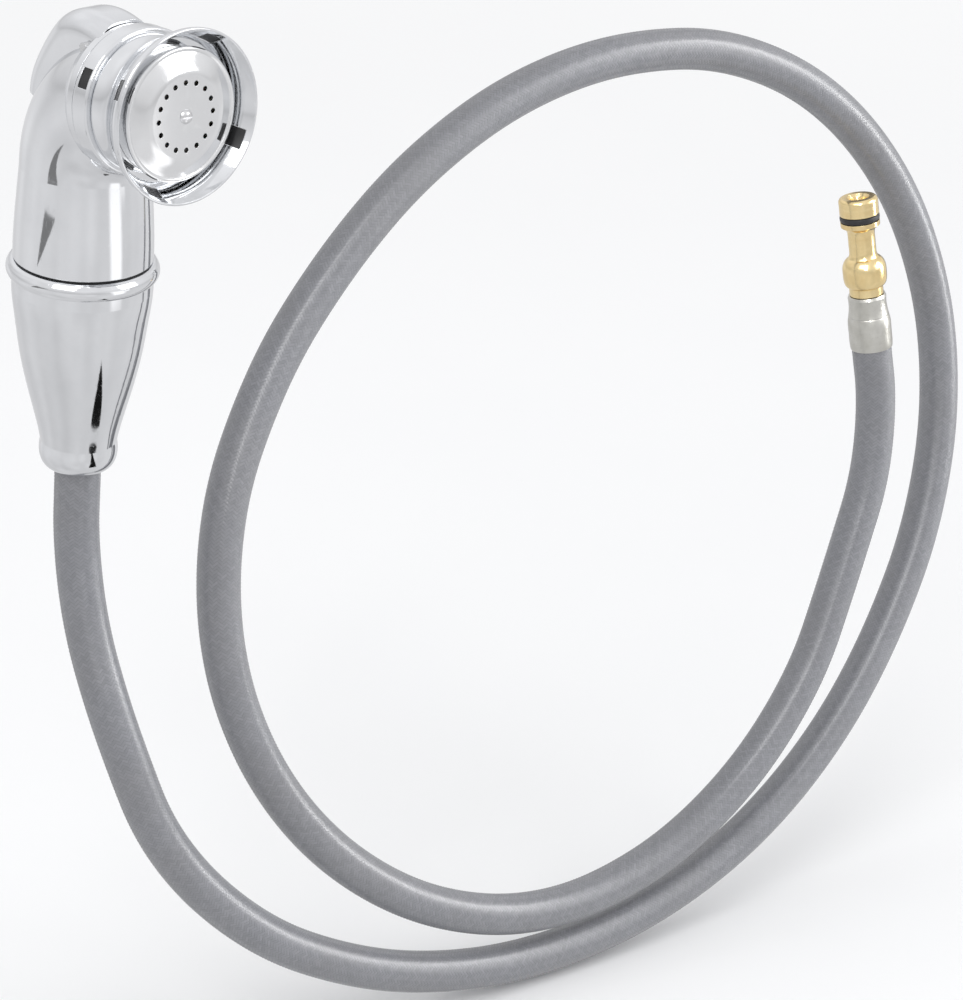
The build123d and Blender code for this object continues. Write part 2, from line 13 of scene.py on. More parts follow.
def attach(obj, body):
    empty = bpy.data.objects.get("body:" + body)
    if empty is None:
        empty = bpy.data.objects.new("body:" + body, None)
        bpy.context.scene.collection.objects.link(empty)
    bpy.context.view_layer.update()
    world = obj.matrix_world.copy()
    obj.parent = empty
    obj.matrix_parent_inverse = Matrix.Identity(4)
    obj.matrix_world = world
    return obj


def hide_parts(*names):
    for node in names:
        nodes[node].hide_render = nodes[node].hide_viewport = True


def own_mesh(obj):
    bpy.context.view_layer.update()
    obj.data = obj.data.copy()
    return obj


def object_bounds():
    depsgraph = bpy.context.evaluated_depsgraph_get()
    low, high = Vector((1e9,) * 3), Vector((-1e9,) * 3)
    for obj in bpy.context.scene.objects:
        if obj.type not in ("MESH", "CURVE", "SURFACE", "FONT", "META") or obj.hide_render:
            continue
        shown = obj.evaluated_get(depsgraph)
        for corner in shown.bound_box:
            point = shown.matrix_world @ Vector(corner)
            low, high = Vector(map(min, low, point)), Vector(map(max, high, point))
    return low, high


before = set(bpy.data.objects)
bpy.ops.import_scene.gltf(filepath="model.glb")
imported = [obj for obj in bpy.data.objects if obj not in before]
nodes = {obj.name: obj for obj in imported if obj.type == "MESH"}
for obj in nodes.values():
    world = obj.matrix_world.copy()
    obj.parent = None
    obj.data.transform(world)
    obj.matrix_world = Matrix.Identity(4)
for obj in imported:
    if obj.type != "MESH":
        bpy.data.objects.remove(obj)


def plain_bounds():
    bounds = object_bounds()
    return [[float(c) for c in corner] for corner in (bounds[0], bounds[1])]


cad_bounds = plain_bounds()

MM = 0.001
SEAT_Z = 64.3                       # mm, height of the scene's origin above the datum
HEAD_TILT = math.radians(4.0)
HEAD_AXIS = (0.0, -math.cos(HEAD_TILT), math.sin(HEAD_TILT))
PLUG_START = (306.48, -73.27, -9.33)
PLUG_AXIS = (-0.1054, 0.20351, 0.97338)
Z_AXIS = (0.0, 0.0, 1.0)
BACKDROP = (0.975, 0.976, 0.978)    # what the camera sees behind the object


def to_scene(points):
    """Millimetres from the datum to metres from the scene's origin."""
    return (np.asarray(points) - np.array((0.0, 0.0, SEAT_Z))) * MM


def place(name, data):
    obj = bpy.data.objects.new(name, data)
    bpy.context.scene.collection.objects.link(obj)
    return obj


# ------------------------------------------------------------------ shader node helpers
class Graph:
    """A node tree. Each call adds a node and returns its output."""

    def __init__(self, tree):
        self.tree = tree

    def node(self, kind, **settings):
        node = self.tree.nodes.new("ShaderNode" + kind)
        for key, value in settings.items():
            setattr(node, key, value)
        return node

    def put(self, socket, value):
        """Link an output to the socket, or set the socket's own value."""
        if isinstance(value, bpy.types.NodeSocket):
            self.tree.links.new(value, socket)
        elif socket.type == "RGBA":
            socket.default_value = (*value[:3], 1.0)
        else:
            socket.default_value = value

    def math(self, operation, *values):
        node = self.node("Math", operation=operation)
        for socket, value in zip(node.inputs, values):
            self.put(socket, value)
        return node.outputs[0]

    def vector_to_value(self, operation, *vectors):
        node = self.node("VectorMath", operation=operation)
        for socket, vector in zip(node.inputs, vectors):
            self.put(socket, vector)
        return node.outputs["Value"]

    def separate(self, vector):
        node = self.node("SeparateXYZ")
        self.put(node.inputs[0], vector)
        return node.outputs

    def mix_value(self, factor, first, second):
        node = self.node("Mix", data_type="FLOAT")
        for index, value in ((0, factor), (2, first), (3, second)):
            self.put(node.inputs[index], value)
        return node.outputs[0]

    def mix(self, factor, first, second):
        node = self.node("Mix", data_type="RGBA")
        for index, value in ((0, factor), (6, first), (7, second)):
            self.put(node.inputs[index], value)
        return node.outputs[2]

    def tint(self, colour, mask, amount, towards):
        """Mix a colour towards another by amount, where the mask is 1."""
        return self.mix(self.math("MULTIPLY", mask, amount), colour, towards)

    def add_up(self, base, *layers):
        """A base value plus each layer's mask times its amount."""
        for mask, amount in layers:
            base = self.math("MULTIPLY_ADD", mask, amount, base)
        return base

    def position(self):
        return self.node("TexCoord").outputs["Object"]

    def uv(self, name):
        return self.node("UVMap", uv_map=name).outputs[0]

    def mapped(self, scale, rotation):
        node = self.node("Mapping")
        self.put(node.inputs["Vector"], self.position())
        node.inputs["Scale"].default_value = scale
        node.inputs["Rotation"].default_value = rotation
        return node.outputs[0]

    def noise(self, scale, detail, rough, distort=0.0, vector=None, axis=None):
        """Noise in space, or one that changes only along the axis: rings on a turned part."""
        node = self.node("TexNoise", noise_dimensions="1D" if axis else "3D")
        if axis:
            along = self.vector_to_value("DOT_PRODUCT", self.position(), axis)
            self.put(node.inputs["W"], along)
        else:
            self.put(node.inputs["Vector"], self.position() if vector is None else vector)
        node.inputs["Scale"].default_value = scale
        node.inputs["Detail"].default_value = detail
        node.inputs["Roughness"].default_value = rough
        node.inputs["Distortion"].default_value = distort
        return node.outputs[0]

    def ramp(self, value, stops):
        node = self.node("ValToRGB")
        elements = node.color_ramp.elements
        while len(elements) < len(stops):
            elements.new(0.5)
        for element, (position, colour) in zip(elements, stops):
            element.position = position
            element.color = (*colour, 1.0)
        self.put(node.inputs[0], value)
        return node.outputs[0]

    def rise(self, value, low, high):
        """0 below low, 1 above high."""
        return self.ramp(value, [(low, (0.0, 0.0, 0.0)), (high, (1.0, 1.0, 1.0))])

    def map_range(self, value, low, high, to=(0.0, 1.0), curve="SMOOTHSTEP"):
        node = self.node("MapRange", interpolation_type=curve)
        self.put(node.inputs[0], value)
        for socket, limit in zip(node.inputs[1:5], (low, high, *to)):
            socket.default_value = limit
        return node.outputs[0]

    def bump(self, height, depth, strength=1.0, normal=None):
        node = self.node("Bump")
        node.inputs["Strength"].default_value = strength
        node.inputs["Distance"].default_value = depth
        self.put(node.inputs["Height"], height)
        if normal is not None:
            self.put(node.inputs["Normal"], normal)
        return node.outputs[0]

    def bevel(self, radius):
        node = self.node("Bevel", samples=4)
        node.inputs["Radius"].default_value = radius
        return node.outputs[0]

    def edge(self, bevel):
        """1 on convex and concave edges, 0 on open surface."""
        normal = self.node("NewGeometry").outputs["Normal"]
        agreement = self.vector_to_value("DOT_PRODUCT", bevel, normal)
        return self.rise(self.math("SUBTRACT", 1.0, agreement), low=0.02, high=0.25)


class Material(Graph):
    def __init__(self, name):
        self.material = bpy.data.materials.new(name)
        self.material.use_nodes = True
        super().__init__(self.material.node_tree)
        self.tree.nodes.clear()
        self.out = self.node("OutputMaterial")

    def output(self, shader):
        self.put(self.out.inputs[0], shader.outputs[0])
        return self.material

    def surface(self, **inputs):
        """Finish with a Principled shader, its inputs named with underscores for spaces."""
        shader = self.node("BsdfPrincipled")
        for name, value in inputs.items():
            self.put(shader.inputs[name.replace("_", " ")], value)
        return self.output(shader)


def scaled(colour, *gains):
    return tuple(min(c * gain, 1.0) for c, gain in zip(colour, gains))


# ------------------------------------------------------------------ materials
# Bevel radii and bump depths are in metres, noise scales in cycles per metre.
def chrome(name, tint=(0.83, 0.84, 0.855), rough=0.035, axis=None, wear=1.0):
    g = Material(name)
    smudge = g.noise(scale=55.0, detail=4.0, rough=0.6)       # finger smears, about 2 cm
    haze = g.noise(scale=420.0, detail=3.0, rough=0.6)        # fine mottling of the plate
    water = g.noise(scale=190.0, detail=2.0, rough=0.5, distort=0.4)
    spots = g.rise(water, low=0.66, high=0.74)                # dried water spots

    def scratches(scale, rotation, low, high):
        stretched = g.mapped(scale, rotation)
        return g.rise(g.noise(scale=1.0, detail=2.0, rough=0.5, vector=stretched), low, high)

    scratched = g.math(
        "MAXIMUM",
        scratches(scale=(260, 5200, 420), rotation=(0.4, 0.2, 0.7), low=0.69, high=0.73),
        scratches(scale=(4800, 240, 380), rotation=(1.1, 0.5, 0.1), low=0.70, high=0.74))
    bevel = g.bevel(radius=0.00035)
    edge = g.edge(bevel)
    roughness = g.add_up(
        rough, (g.rise(smudge, low=0.42, high=0.68), 0.05 * wear), (haze, 0.025),
        (spots, 0.05 * wear), (scratched, 0.10 * wear), (edge, 0.07))
    dulled = scaled(tint, 0.93, 0.93, 0.935)
    colour = g.mix(g.rise(smudge, low=0.35, high=0.75), tint, dulled)
    colour = g.tint(colour, edge, amount=0.35, towards=scaled(tint, 1.1, 1.1, 1.1))
    ripple = g.noise(scale=150.0, detail=2.0, rough=0.4)
    normal = g.bump(ripple, depth=0.000012, normal=bevel)
    normal = g.bump(scratched, depth=0.000004, strength=0.5, normal=normal)
    if axis is not None:
        rings = g.noise(scale=3600.0, detail=2.0, rough=0.6, axis=axis)
        normal = g.bump(rings, depth=0.000003, strength=0.6, normal=normal)
    return g.surface(Base_Color=colour, Metallic=1.0, Roughness=roughness, Normal=normal)


def turned(name, light, deep, axis, rough=0.16, line=3000.0, stain=0.5):
    """Lathe-turned metal: fine rings round the axis and patches of tarnish."""
    g = Material(name)
    rings = g.noise(scale=line, detail=3.0, rough=0.7, axis=axis)
    bands = g.noise(scale=260.0, detail=2.0, rough=0.5, axis=axis)
    patch = g.noise(scale=170.0, detail=4.0, rough=0.6)
    bevel = g.bevel(radius=0.00025)
    tarnish = g.math("MULTIPLY", g.rise(patch, low=0.40, high=0.72), stain)
    colour = g.mix(tarnish, light, deep)
    colour = g.tint(colour, g.rise(bands, low=0.3, high=0.7), amount=0.25, towards=deep)
    colour = g.tint(colour, g.edge(bevel), amount=0.5, towards=scaled(light, 1.12, 1.12, 1.2))
    roughness = g.add_up(rough - 0.05, (rings, 0.14), (tarnish, 0.12))
    normal = g.bump(rings, depth=0.000012, strength=0.8, normal=bevel)
    return g.surface(Base_Color=colour, Metallic=1.0, Roughness=roughness, Normal=normal)


def satin(name, light, deep, axis, rough=0.30):
    """Blasted and plated sleeve: fine grain with faint lines round the axis."""
    g = Material(name)
    rings = g.noise(scale=1800.0, detail=2.0, rough=0.6, axis=axis)
    grain = g.noise(scale=5200.0, detail=2.0, rough=0.6)
    patch = g.noise(scale=120.0, detail=4.0, rough=0.6)
    bevel = g.bevel(radius=0.0003)
    colour = g.mix(g.rise(patch, low=0.35, high=0.75), light, deep)
    colour = g.tint(colour, g.edge(bevel), amount=0.4, towards=(0.9, 0.89, 0.86))
    roughness = g.add_up(rough, (grain, 0.12), (rings, 0.08))
    normal = g.bump(grain, depth=0.00001, strength=0.5, normal=bevel)
    normal = g.bump(rings, depth=0.000008, strength=0.5, normal=normal)
    return g.surface(Base_Color=colour, Metallic=1.0, Roughness=roughness, Normal=normal)


def rubber(name, base=(0.012, 0.012, 0.013), rough=0.42, sheen=0.15):
    """Rubber with a fine grain and patches of pale bloom."""
    g = Material(name)
    grain = g.noise(scale=2600.0, detail=3.0, rough=0.6)
    bloom = g.rise(g.noise(scale=220.0, detail=4.0, rough=0.6), low=0.45, high=0.80)
    bevel = g.bevel(radius=0.00025)
    colour = g.tint(base, bloom, amount=0.35, towards=(0.055, 0.055, 0.058))
    colour = g.tint(colour, g.edge(bevel), amount=0.3, towards=(0.07, 0.07, 0.07))
    return g.surface(
        Base_Color=colour, Roughness=g.add_up(rough - 0.06, (grain, 0.16), (bloom, 0.10)),
        Normal=g.bump(grain, depth=0.00002, strength=0.5, normal=bevel),
        Sheen_Weight=sheen, Sheen_Roughness=0.4, Specular_IOR_Level=0.5)


def plastic(name, base, rough=0.38):
    """Moulded plastic with fine grain and soft flow marks."""
    g = Material(name)
    grain = g.noise(scale=3000.0, detail=2.0, rough=0.6)
    flow = g.noise(scale=90.0, detail=3.0, rough=0.6, distort=0.5)
    bevel = g.bevel(radius=0.0003)
    colour = g.mix(g.rise(flow, low=0.35, high=0.75), base, scaled(base, 0.88, 0.88, 0.88))
    return g.surface(
        Base_Color=colour, Roughness=g.add_up(rough - 0.05, (grain, 0.14)),
        Normal=g.bump(grain, depth=0.00001, strength=0.5, normal=bevel),
        Subsurface_Weight=0.05, Subsurface_Scale=0.002)


def braid():
    """Two families of yarns, p and q, counted by the sum and difference of the weave UVs."""
    g = Material("braid")
    u, v, _ = g.separate(g.uv("weave"))
    p, q = g.math("ADD", u, v), g.math("SUBTRACT", u, v)
    across_p, across_q = g.math("FRACT", p), g.math("FRACT", q)
    count_p, count_q = g.math("FLOOR", p), g.math("FLOOR", q)
    # two over, two under; the offset, a multiple of 4, keeps the count positive
    crossing = g.math("ADD", g.math("ADD", count_p, count_q), 40000.0)
    p_on_top = g.math("LESS_THAN", g.math("MODULO", crossing, 4.0), 1.5)
    across = g.mix_value(p_on_top, across_q, across_p)
    # four filaments to a yarn
    filament = g.math("ABSOLUTE", g.math("SINE", g.math("MULTIPLY", across, math.pi * 4.0)))
    # from the middle of a yarn, 0, to its edges, 1
    rim = g.math("ABSOLUTE", g.math("MULTIPLY_ADD", across, 2.0, -1.0))
    yarn_edge = g.rise(rim, low=0.70, high=1.0)
    # a random shade for each yarn; the offset keeps the families apart
    yarn_id = g.node("CombineXYZ")
    g.put(yarn_id.inputs[0], g.mix_value(p_on_top, count_q, g.math("ADD", count_p, 913.0)))
    random = g.node("TexWhiteNoise", noise_dimensions="3D")
    g.put(random.inputs["Vector"], yarn_id.outputs[0])
    patch = g.noise(scale=26.0, detail=4.0, rough=0.6)
    fuzz = g.noise(scale=2400.0, detail=3.0, rough=0.6)
    colour = g.mix(random.outputs["Value"], (0.158, 0.162, 0.177), (0.207, 0.211, 0.228))
    colour = g.tint(colour, filament, amount=0.22, towards=(0.30, 0.305, 0.33))
    # painted shade: the colour darkens towards each yarn's edges, in the gaps between the yarns
    # where shade falls
    colour = g.tint(colour, yarn_edge, amount=0.55, towards=(0.07, 0.072, 0.085))
    worn = g.rise(patch, low=0.40, high=0.75)
    colour = g.tint(colour, worn, amount=0.30, towards=(0.17, 0.165, 0.165))
    height = g.add_up(g.math("SUBTRACT", 1.0, yarn_edge), (filament, 0.35))
    normal = g.bump(height, depth=0.00006, strength=0.55)
    normal = g.bump(fuzz, depth=0.00002, strength=0.3, normal=normal)
    return g.surface(
        Base_Color=colour, Roughness=g.add_up(0.30, (fuzz, 0.14), (yarn_edge, 0.15)), Normal=normal,
        Specular_IOR_Level=0.75, Coat_Weight=0.6, Coat_Roughness=0.26, Coat_IOR=1.55,
        Sheen_Weight=0.12, Sheen_Roughness=0.5)


CHROME = chrome("chrome")
CHROME_HEAD = chrome("chrome_head", axis=HEAD_AXIS)
CHROME_LEVER = chrome("chrome_lever", rough=0.045, wear=1.3)
FACE = chrome("face_chrome", tint=(0.88, 0.885, 0.89), rough=0.07, axis=HEAD_AXIS)
BRASS_PLUG = turned("brass_plug", light=(0.97, 0.79, 0.44), deep=(0.74, 0.50, 0.20),
                    axis=PLUG_AXIS, stain=0.35)
BRASS_TONES = {"light": (0.86, 0.64, 0.30), "deep": (0.55, 0.33, 0.12)}
BRASS = turned("brass", **BRASS_TONES, axis=Z_AXIS, rough=0.24)
BRASS_HEAD = turned("brass_head", **BRASS_TONES, axis=HEAD_AXIS, rough=0.24)
FERRULE = satin("ferrule", light=(0.70, 0.69, 0.645), deep=(0.52, 0.51, 0.46),
                axis=PLUG_AXIS, rough=0.20)
FERRULE_Z = satin("ferrule_z", light=(0.74, 0.735, 0.70), deep=(0.60, 0.59, 0.54), axis=Z_AXIS)
STEEL = turned("steel", light=(0.74, 0.745, 0.75), deep=(0.50, 0.50, 0.50),
               axis=Z_AXIS, rough=0.22, line=2000.0)
STEEL_HEAD = turned("steel_head", light=(0.80, 0.80, 0.81), deep=(0.60, 0.60, 0.60),
                    axis=HEAD_AXIS, rough=0.18, line=2000.0)
RUBBER = rubber("rubber")
LUG = rubber("lug_rubber", base=(0.010, 0.010, 0.011), rough=0.30, sheen=0.05)
LINER = rubber("liner", base=(0.55, 0.55, 0.52), rough=0.40, sheen=0.0)
ACETAL = plastic("acetal", base=(0.82, 0.82, 0.79))
BRAID = braid()

LOOK = {
    "handle_cone": CHROME, "collar_ring": CHROME, "head_shell": CHROME,
    "thumb_lever": CHROME_LEVER, "neck_ring": CHROME_HEAD, "spray_bell": CHROME_HEAD,
    "spray_face": FACE, "neck_lugs": LUG, "bell_lugs": LUG, "face_screw": STEEL_HEAD,
    "inlet_plug": BRASS_PLUG, "inlet_ferrule": FERRULE, "outlet_ferrule": FERRULE_Z,
    "inlet_o_ring": RUBBER, "hose_liner": LINER, "hose_stem": BRASS, "swivel_o_ring": RUBBER,
    "swivel_clip": STEEL, "collar_gasket": RUBBER, "inlet_bushing": BRASS,
    "thrust_washer": ACETAL, "tube_washer": RUBBER, "waterway_tube": BRASS,
    "tube_o_ring": RUBBER, "strainer_screen": STEEL, "check_body": ACETAL,
    "check_o_ring": RUBBER, "check_cage": ACETAL, "check_spring": STEEL, "valve_body": BRASS,
    "spring_cage": BRASS, "valve_spring": STEEL, "stem_gland": BRASS, "gland_o_ring": RUBBER,
    "lever_pin": STEEL, "nozzle_hub": BRASS_HEAD, "port_disc": ACETAL, "face_o_ring": RUBBER,
    "valve_stem": BRASS, "valve_disc": RUBBER, "check_poppet": ACETAL,
}


def paint(obj, material):
    for slot in obj.material_slots:
        slot.material = material


for name, material in LOOK.items():
    if not nodes[name].material_slots:
        nodes[name].data.materials.append(material)
    paint(nodes[name], material)


# ------------------------------------------------------------------ springs
def spring_coil(name):
    """A copy of a spring, painted and attached to the handset in place of the hidden original."""
    coil = place(name + "_coil", nodes[name].data.copy())
    paint(coil, LOOK[name])
    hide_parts(name)
    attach(coil, "handset")
    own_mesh(coil)


spring_coil("valve_spring")
spring_coil("check_spring")

# ------------------------------------------------------------------ the braided hose, in mm
HOSE_TOP_Z = 22.4
PLUG_RUN = 12.0                     # straight end of the hose, along the plug's axis
# x, y, z of the centreline, from under the handle to just short of the plug
HOSE_POINTS = [
    (0.0, 0.0, -6.0), (-0.2, -0.5, -24.0), (-1.5, -6.3, -46.1), (0.1, -24.3, -87.7),
    (12.3, -38.0, -129.3), (38.6, -52.2, -163.4), (75.1, -65.3, -187.2), (117.0, -76.6, -200.8),
    (161.5, -85.6, -204.3), (206.2, -91.9, -198.0), (248.6, -95.1, -181.9), (286.2, -94.8, -156.3),
    (317.1, -91.1, -123.0), (340.3, -84.6, -84.4), (352.4, -74.9, -41.7), (351.1, -62.6, 2.0),
    (335.8, -48.6, 42.5), (307.0, -34.6, 74.5), (267.8, -22.2, 93.8), (223.6, -12.9, 98.6),
    (179.1, -6.9, 91.4), (137.4, -4.4, 73.3), (100.5, -5.2, 46.5), (69.4, -8.8, 13.4),
    (47.8, -15.8, -25.9), (41.1, -26.6, -69.4), (50.4, -40.0, -111.8), (73.3, -55.4, -147.8),
    (107.4, -71.0, -173.5), (149.5, -82.4, -185.9), (194.1, -89.4, -181.4), (235.0, -92.5, -162.0),
    (268.0, -91.6, -130.8), (289.9, -87.0, -91.3), (306.2, -81.1, -49.1), (308.2, -77.1, -27.6),
]
CARRIERS = 30                       # yarns in each direction
COLUMNS = 2 * CARRIERS              # vertices round the hose
CELL = 1.25                         # length of one crossing, along the hose
OUTER_RADIUS = 7.25
INNER_RADIUS = 5.30
INNER_ROWS = 420
# depths below the outer radius: cell corners, between crossings where the same yarn stays
# on top, between two yarns side by side, and where the top yarn changes
CORNER, CREST, GROOVE, SHOULDER = 0.24, 0.01, 0.15, 0.10


def unit(vector):
    return vector / np.linalg.norm(vector)


def biarc(start, start_dir, end, end_dir):
    """The point where two arcs joining the ends meet, and their direction there."""
    chord, dir_sum = end - start, start_dir + end_dir
    turn = 2.0 * (1.0 - start_dir @ end_dir)
    reach = chord @ dir_sum
    if turn > 1e-9:
        handle = (-reach + math.sqrt(reach * reach + turn * (chord @ chord))) / turn
    else:
        handle = (chord @ chord) / (2.0 * reach)
    middle = (start + end) * 0.5 + (start_dir - end_dir) * (0.5 * handle)
    half = middle - start
    return middle, unit(half * (2.0 * (half @ start_dir) / (half @ half)) - start_dir)


def hose_path():
    """The centreline: a list of (start, direction, length, turn axis or None, radius)."""
    plug_dir = unit(np.array(PLUG_AXIS))
    points = [np.array(point, float) for point in HOSE_POINTS + [PLUG_START]]
    down = np.array((0.0, 0.0, -1.0))
    knots = [(np.array((0.0, 0.0, HOSE_TOP_Z)), down), (points[0], down)]
    for before, here, after in zip(points[:-2], points[1:-1], points[2:]):
        ratio = np.linalg.norm(after - here) / np.linalg.norm(here - before)
        knots.append((here, unit((here - before) * ratio + (after - here) / ratio)))
    knots += [(points[-1], plug_dir), (points[-1] + plug_dir * PLUG_RUN, plug_dir)]
    arcs = []
    for (point, direction), (end, end_dir) in zip(knots[:-1], knots[1:]):
        steps = [(end, end_dir)]
        parallel = np.linalg.norm(direction - end_dir) < 1e-6
        if not (parallel and np.linalg.norm(unit(end - point) - direction) < 1e-6):
            steps.insert(0, biarc(point, direction, end, end_dir))
        for next_point, next_dir in steps:
            chord = next_point - point
            length = np.linalg.norm(chord)
            normal = np.cross(direction, chord)
            if np.linalg.norm(normal) / length < 2e-5:
                arcs.append((point, direction, length, None, 0.0))
            else:
                half = math.atan2(np.linalg.norm(normal), direction @ chord)
                radius = length / (2.0 * math.sin(half))
                arcs.append((point, direction, radius * 2.0 * half, unit(normal), radius))
            point, direction = next_point, next_dir
    return arcs


def sample(arcs, distances):
    """Points and directions at distances along the centreline."""
    starts = np.cumsum([0.0] + [arc[2] for arc in arcs])
    index = np.clip(np.searchsorted(starts, distances, side="right") - 1, 0, len(arcs) - 1)
    points, directions = np.zeros((len(distances), 3)), np.zeros((len(distances), 3))
    for n, (start, direction, _, axis, radius) in enumerate(arcs):
        here = index == n
        run = (distances[here] - starts[n])[:, None]
        if axis is None:
            points[here], directions[here] = start + direction * run, direction
        else:
            angle = run / radius
            inward = np.cross(axis, direction)
            points[here] = (start + direction * radius * np.sin(angle)
                            + inward * radius * (1.0 - np.cos(angle)))
            directions[here] = direction * np.cos(angle) + inward * np.sin(angle)
    return points, directions


def carried_normals(directions):
    """A normal carried along the line without twist."""
    normals = np.zeros_like(directions)
    normal = np.array((1.0, 0.0, 0.0))
    for n, direction in enumerate(directions):
        normal = unit(normal - direction * (normal @ direction))
        normals[n] = normal
    return normals


def tube(points, directions, normals, radius, quarter):
    """Vertices round a line, at quarter-cell places round the hose."""
    sides = np.cross(directions, normals)
    angle = 2.0 * math.pi * quarter[..., None] / (4.0 * CARRIERS)
    around = np.cos(angle) * normals[:, None, :] + np.sin(angle) * sides[:, None, :]
    return (points[:, None, :] + radius * around).reshape(-1, 3)


def weave_radius(row, quarter):
    """Radius of each outer vertex, from its place in the two-over, two-under weave."""
    along_p, along_q = (quarter + row) // 2, (quarter - row) // 2       # half-cells
    p_odd, q_odd = along_p % 2 == 1, along_q % 2 == 1
    i, j = along_p // 2, along_q // 2

    def p_over(i, j):
        return (i + j) % 4 < 2

    here = p_over(i, j)
    radius = np.full(quarter.shape, OUTER_RADIUS - CORNER)
    radius[p_odd & q_odd] = OUTER_RADIUS
    # the lines between neighbouring cells along q, crossed by p yarns, then along p
    for between, before, crossed_by_p in ((p_odd & ~q_odd, p_over(i, j - 1), True),
                                          (~p_odd & q_odd, p_over(i - 1, j), False)):
        depth = np.where(before != here, SHOULDER,
                         np.where(here == crossed_by_p, CREST, GROOVE))
        radius[between] = (OUTER_RADIUS - depth)[between]
    return radius


def weave_faces(row, quarter, corners):
    """Outer faces and their UVs; corners are (row, quarter-cell) steps from the first."""
    rows = np.stack([row + step for step, _ in corners], -1).reshape(-1, len(corners))
    quarters = np.stack([quarter + step for _, step in corners], -1).reshape(-1, len(corners))
    faces = rows * COLUMNS + ((quarters - rows % 2) // 2) % COLUMNS
    return faces, np.stack([quarters, rows], -1) / 4.0


def braided_hose():
    arcs = hose_path()
    total = sum(arc[2] for arc in arcs)
    rows = 2 * int(round(total / (CELL / 4.0) / 2.0))
    row = np.arange(rows + 1)
    column = np.arange(COLUMNS)
    points, directions = sample(arcs, np.minimum(row * (total / rows), total - 1e-6))
    normals = carried_normals(directions)
    quarter = 2 * column[None, :] + (row % 2)[:, None]
    radius = weave_radius(row[:, None], quarter)
    outer = tube(points, directions, normals, radius[..., None], quarter)

    row_grid, column_grid = np.meshgrid(np.arange(1, rows), column, indexing="ij")
    diamonds, diamond_uv = weave_faces(row_grid, 2 * column_grid + row_grid % 2,
                                       ((0, 0), (-1, 1), (0, 2), (1, 1)))
    first, first_uv = weave_faces(0 * column, 2 * column, ((0, 0), (0, 2), (1, 1)))
    final, final_uv = weave_faces(rows + 0 * column, 2 * column, ((0, 0), (-1, 1), (0, 2)))

    # the inner wall takes its normals from the nearest outer rows, so the ends line up
    points, directions = sample(arcs, np.linspace(0.0, total - 1e-6, INNER_ROWS + 1))
    near = np.round(np.linspace(0, rows, INNER_ROWS + 1)).astype(int)
    normals = normals[near] - directions * np.sum(normals[near] * directions, 1)[:, None]
    normals /= np.linalg.norm(normals, axis=1)[:, None]
    inner = tube(points, directions, normals, INNER_RADIUS, 2 * column[None, :])
    base = len(outer)
    i, j = np.meshgrid(np.arange(INNER_ROWS), column, indexing="ij")
    this, following = base + i * COLUMNS, base + (i + 1) * COLUMNS
    j_next = (j + 1) % COLUMNS
    wall = np.stack([this + j, following + j, following + j_next, this + j_next], -1)
    wall = wall.reshape(-1, 4)
    wall_uv = np.stack([np.stack([j, j, j + 1, j + 1], -1) / 2.0,
                        np.stack([i, i + 1, i + 1, i], -1) * (rows / INNER_ROWS) / 4.0], -1)

    # flat rings that close the two ends
    beside = (column + 1) % COLUMNS
    top_ring = np.stack([column, base + column, base + beside, beside], -1)
    outer_end, inner_end = rows * COLUMNS, base + INNER_ROWS * COLUMNS
    end_ring = np.stack([outer_end + column, outer_end + beside,
                         inner_end + beside, inner_end + column], -1)
    ring_uv = np.stack([np.stack([column, column, column + 1, column + 1], -1) / 2.0,
                        np.zeros((COLUMNS, 4))], -1)

    verts = to_scene(np.concatenate([outer, inner]))
    quads = np.concatenate([diamonds, wall, top_ring, end_ring])
    triangles = np.concatenate([first, final])
    uvs = np.concatenate([part.reshape(-1, 2) for part in
                          (diamond_uv, wall_uv, ring_uv, ring_uv, first_uv, final_uv)])
    corners = np.concatenate([quads.ravel(), triangles.ravel()])
    starts = np.concatenate([np.arange(len(quads)) * 4,
                             quads.size + np.arange(len(triangles)) * 3])
    mesh = bpy.data.meshes.new("braided_hose")
    mesh.vertices.add(len(verts))
    mesh.vertices.foreach_set("co", verts.astype(np.float32).ravel())
    mesh.loops.add(len(corners))
    mesh.loops.foreach_set("vertex_index", corners.astype(np.int32))
    mesh.polygons.add(len(starts))
    mesh.polygons.foreach_set("loop_start", starts.astype(np.int32))
    mesh.update(calc_edges=True)
    layer = mesh.uv_layers.new(name="weave")
    layer.data.foreach_set("uv", uvs.astype(np.float32).ravel())
    smooth = np.ones(len(starts), bool)
    smooth[len(diamonds) + len(wall):len(quads)] = False
    mesh.polygons.foreach_set("use_smooth", smooth)
    mesh.validate()
    mesh.materials.append(BRAID)
    return place("braided_hose", mesh)


hose = braided_hose()
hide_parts("hose_jacket")
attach(hose, "hose")

# ------------------------------------------------------------------ floor
FLOOR_Z = cad_bounds[0][2] - 0.0008
FLOOR_HALF = 4.0
FLOOR_X = 0.15
FLOOR_CELLS = 64


def floor():
    """A flat pale sheet that fades into the backdrop, so there is no hard horizon."""
    ticks = np.linspace(-FLOOR_HALF, FLOOR_HALF, FLOOR_CELLS + 1)
    verts = [(x + FLOOR_X, y, FLOOR_Z) for y in ticks for x in ticks]
    row = FLOOR_CELLS + 1
    corners = [r * row + c for r in range(FLOOR_CELLS) for c in range(FLOOR_CELLS)]
    mesh = bpy.data.meshes.new("floor")
    mesh.from_pydata(verts, [], [(n, n + 1, n + row + 1, n + row) for n in corners])
    g = Material("floor")
    mottle = g.noise(scale=9.0, detail=3.0, rough=0.5)
    colour = g.mix(mottle, (0.955, 0.955, 0.955), (0.935, 0.935, 0.94))
    fade = g.map_range(g.vector_to_value("LENGTH", g.position()), low=0.45, high=2.4)
    colour = g.mix(fade, colour, (0.05, 0.05, 0.05))
    mesh.materials.append(g.surface(
        Base_Color=colour, Roughness=0.75, Specular_IOR_Level=0.2,
        Emission_Color=BACKDROP, Emission_Strength=fade))
    return place("floor", mesh)


